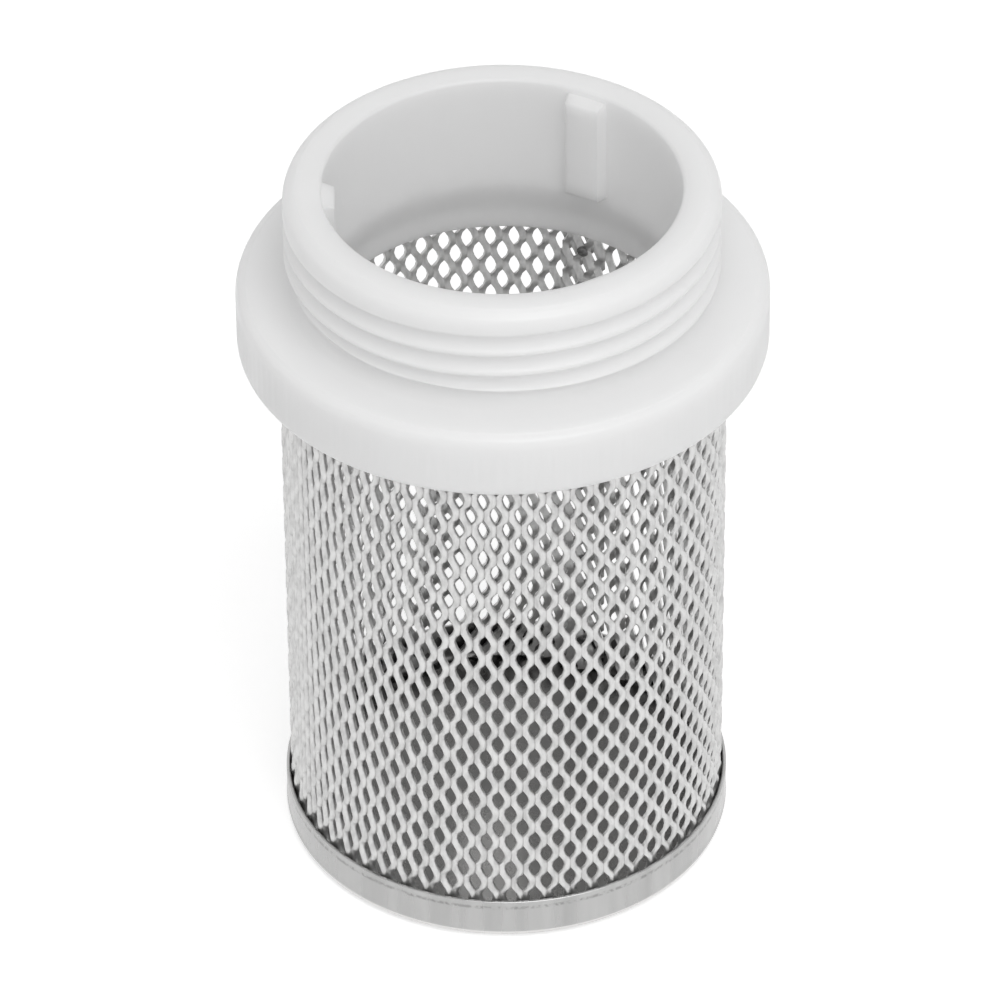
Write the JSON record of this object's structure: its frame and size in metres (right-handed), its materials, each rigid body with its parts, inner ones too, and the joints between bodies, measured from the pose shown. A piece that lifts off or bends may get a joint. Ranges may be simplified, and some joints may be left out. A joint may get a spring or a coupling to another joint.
{
  "type": "foot valve suction strainer",
  "caption": "Suction strainer for a foot valve: flanged plastic collar with male pipe thread, expanded stainless mesh basket and pressed bottom cup.",
  "frame": {"origin": "centre of the bottom cup's underside, on the surface the strainer stands on", "axes": "+Z along the basket's axis, from the closed bottom to the threaded mouth; the seam of the mesh lies at 67 degrees from +X towards +Y"},
  "size_m": [0.0513, 0.0512, 0.0759],
  "materials": {
    "nylon": "satin, slightly translucent",
    "mesh_steel": "matte, as rolled",
    "cup_steel": "satin",
    "weld_steel": "heat stained"
  },
  "bodies": {
    "root": {"threaded_collar": "nylon", "mesh_screen": "mesh_steel", "seam_welds": "weld_steel", "bottom_cap": "cup_steel"}
  },
  "joints": []
}
